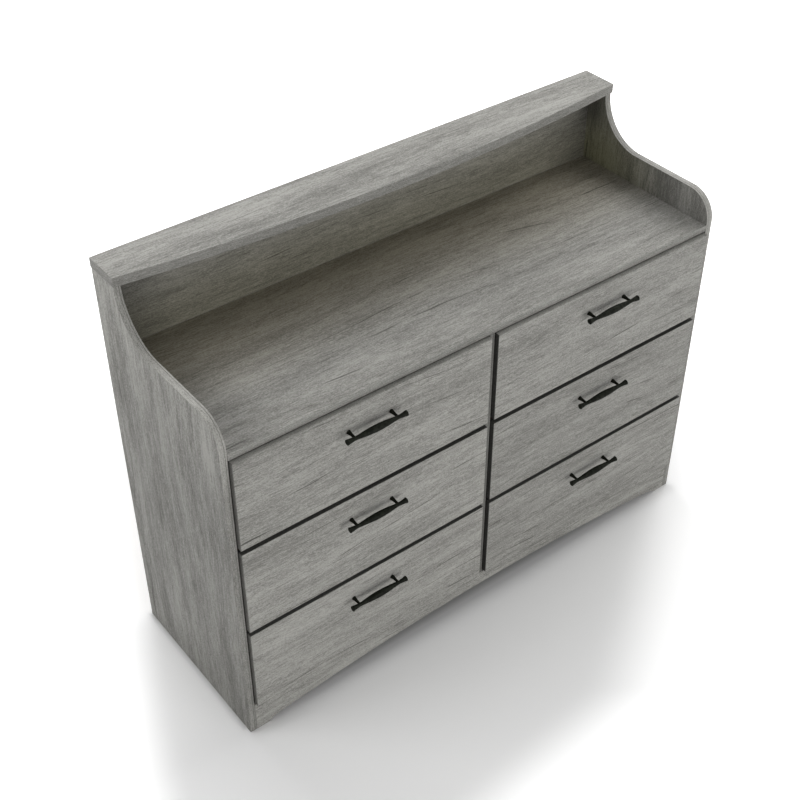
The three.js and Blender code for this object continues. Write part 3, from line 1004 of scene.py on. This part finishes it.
# Each row: what a node's name ends with, and its finish.
inner_finishes = (
    (("_side", "_drawer_back", "bottom_board", "rear_rail", "centre_foot"), paper_face),
    (("_bottom", "_back_sheet"), make_hardboard()),
    (("_runner",), make_runner_plastic()),
)
finished = 0
for name, node in nodes.items():
    for endings, finish in inner_finishes:
        if name.endswith(endings):
            for slot in node.material_slots:
                slot.material = finish
            finished += 1
print("nodes with an inner finish:", finished)

# %% [markdown]
# ## Floor
#
# The photograph's floor is white beside and behind the dresser, and a soft grey strip runs forwards
# from it. The lamps cast the strip's shadow, and a painted glow shapes its edges: where the camera, a
# mirror or glass looks straight at the floor, it is white and glows a little, though it is no lamp.
# This glow is small on the strip, grows beyond both its sides, behind the case and far away, and is
# absent under the case. There the floor's seen colour is darker too, a painted shade, so that the gap
# below the arch stays dark.
#
# Each mask is a ramp over a place on the floor, so it holds from every side. The light that the floor
# sends back to the dresser comes from its plain colour alone.

# %% Floor
def either_of(tree, *masks):
    """The largest of several masks."""
    largest = masks[0]
    for mask in masks[1:]:
        largest = math_node(tree, "MAXIMUM", largest, mask)
    return largest


def seen_directly(tree):
    """1 where the camera, a mirror or glass looks straight at the surface, and 0 elsewhere."""
    path = add_node(tree, "ShaderNodeLightPath").outputs
    return either_of(tree, path["Is Camera Ray"], path["Is Glossy Ray"], path["Is Transmission Ray"])


half_floor = 6.0
floor_colour = 0.88
seen_colour = 1.0
# Painted shade under the case and a painted glow elsewhere, both only where the floor is seen directly.
seen_painted_shade_under_case = 0.5
painted_glow_on_strip = 0.1
painted_glow_beside_strip = 0.46
painted_glow_far_away = 0.6
# Ramps over the floor, each from the place where its mask starts to the one where it is full.
case_side = (0.59, 0.62)
case_back = (0.19, 0.24)
colour_before_case = (-0.15, -0.174)
painted_glow_before_case = (-0.172, -0.225)
strip_right, strip_left, strip_back = (0.5, 0.71), (-0.592, -0.712), (0.3, 0.9)
strip_end = (1.15, 1.9)
far_away = (1.4, 3.0)
# The strip's own frame is turned to its heading and shifted. Both its sides lean in towards the
# viewer, and past its knee the right one leans in more.
strip_turn = (0.0, 0.0, view_azimuth)
strip_shift = (0.065, 0.0, 0.0)
right_lean, left_lean = -0.33, 0.3
strip_knee, knee_lean = -0.4, 0.75


def make_floor_material():
    """Matt and pale, with a painted shade in its colour and a painted glow, both set by the place where
    it is seen directly.
    """
    material, tree, shader = make_material("floor_pale", grey(floor_colour), 0.9, specular=0.0)
    seen = seen_directly(tree)
    place = object_place(tree)
    x, y, _ = split(tree, place)
    # Painted shade: where the floor is seen directly, its colour falls under the case.
    aside = stretched(tree, math_node(tree, "ABSOLUTE", x), *case_side)
    beside = either_of(tree, aside, stretched(tree, y, *case_back))
    open_floor = either_of(tree, beside, stretched(tree, y, *colour_before_case, smooth=False))
    seen_tone = stretched(tree, open_floor, 0.0, 1.0, seen_painted_shade_under_case, seen_colour, smooth=False)
    tone = stretched(tree, seen, 0.0, 1.0, floor_colour, seen_tone, smooth=False)
    colour = add_node(tree, "ShaderNodeCombineColor", {0: tone, 1: tone, 2: tone}).outputs[0]
    tree.links.new(colour, shader.inputs["Base Color"])

    inputs = {"Vector": place, "Location": strip_shift, "Rotation": strip_turn}
    sideways, backwards, _ = split(tree, add_node(tree, "ShaderNodeMapping", inputs).outputs[0])
    past_knee = math_node(tree, "MAXIMUM", math_node(tree, "SUBTRACT", strip_knee, backwards), 0.0)
    to_right = math_node(tree, "MULTIPLY_ADD", backwards, right_lean, sideways)
    to_right = math_node(tree, "MULTIPLY_ADD", past_knee, knee_lean, to_right)
    to_left = math_node(tree, "MULTIPLY_ADD", backwards, left_lean, sideways)
    distance = add_node(tree, "ShaderNodeVectorMath", {0: place}, operation="LENGTH").outputs["Value"]
    off_strip = either_of(
        tree, stretched(tree, distance, *strip_end), stretched(tree, to_right, *strip_right),
        stretched(tree, to_left, *strip_left), stretched(tree, backwards, *strip_back),
    )
    # The painted glow shapes the shadow strip's edges: small on it, full beside it, none under the
    # case, more far away.
    painted_glow = stretched(tree, off_strip, 0.0, 1.0, painted_glow_on_strip, painted_glow_beside_strip, smooth=False)
    uncovered = either_of(tree, beside, stretched(tree, y, *painted_glow_before_case))
    painted_glow = math_node(tree, "MULTIPLY", painted_glow, uncovered)
    painted_glow = math_node(tree, "ADD", painted_glow, stretched(tree, distance, *far_away, 0.0, painted_glow_far_away))
    shader.inputs["Emission Color"].default_value = grey(1.0)
    tree.links.new(math_node(tree, "MULTIPLY", seen, painted_glow), shader.inputs["Emission Strength"])
    return material


floor = new_piece("floor", half_floor * np.array([
    [-1.0, -1.0, 0.0], [1.0, -1.0, 0.0], [1.0, 1.0, 0.0], [-1.0, 1.0, 0.0],
]), [[0, 1, 2, 3]])
floor.data.materials.append(make_floor_material())
print("floor:", 2.0 * half_floor, "metres wide")

# %% [markdown]
# ## Light
#
# The world is white to look at and a quarter as bright as a light. Five soft lamps do the rest:
#
# - two behind the dresser light the cap, throw the shadow forwards and leave the hutch dark
# - a large one high on the right lights the tops
# - one behind on the left lights the left side panel
# - one near the floor in front lights the fronts from below, so the pulls' shadows fall upwards

# %% World and lamps
world_light = 0.25
world = bpy.data.worlds.new("studio")
bpy.context.scene.world = world
world.use_nodes = True
tree = world.node_tree
background = tree.nodes["Background"]
strength = stretched(tree, seen_directly(tree), 0.0, 1.0, world_light, 1.0, smooth=False)
tree.links.new(strength, background.inputs["Strength"])
background.inputs["Color"].default_value = grey(1.0)

# Each lamp: its place, the height on the dresser's axis that it faces, its width, height and power.
lamps = {
    "lamp_behind_middle": ((0.0, 2.6, 2.9), 0.6, 2.0, 1.2, 36.0),
    "lamp_behind_high": ((0.3, 1.6, 3.3), 0.6, 1.8, 0.8, 20.0),
    "lamp_right_high": ((2.4, 0.3, 2.8), 0.5, 1.8, 1.8, 40.0),
    "lamp_left_behind": ((-2.4, 0.9, 2.0), 0.6, 1.4, 1.4, 19.0),
    "lamp_front": ((0.1, -3.4, 0.8), 0.5, 2.6, 1.4, 44.0),
}
for name, (place, faced_height, width, height, power) in lamps.items():
    data = bpy.data.lights.new(name, "AREA")
    data.shape = "RECTANGLE"
    data.size = width
    data.size_y = height
    data.energy = power
    lamp = bpy.data.objects.new(name, data)
    lamp.location = place
    heading = Vector((0.0, 0.0, faced_height)) - Vector(place)
    lamp.rotation_euler = heading.to_track_quat("-Z", "Y").to_euler()
    bpy.context.scene.collection.objects.link(lamp)
print("lamps:", len(lamps))
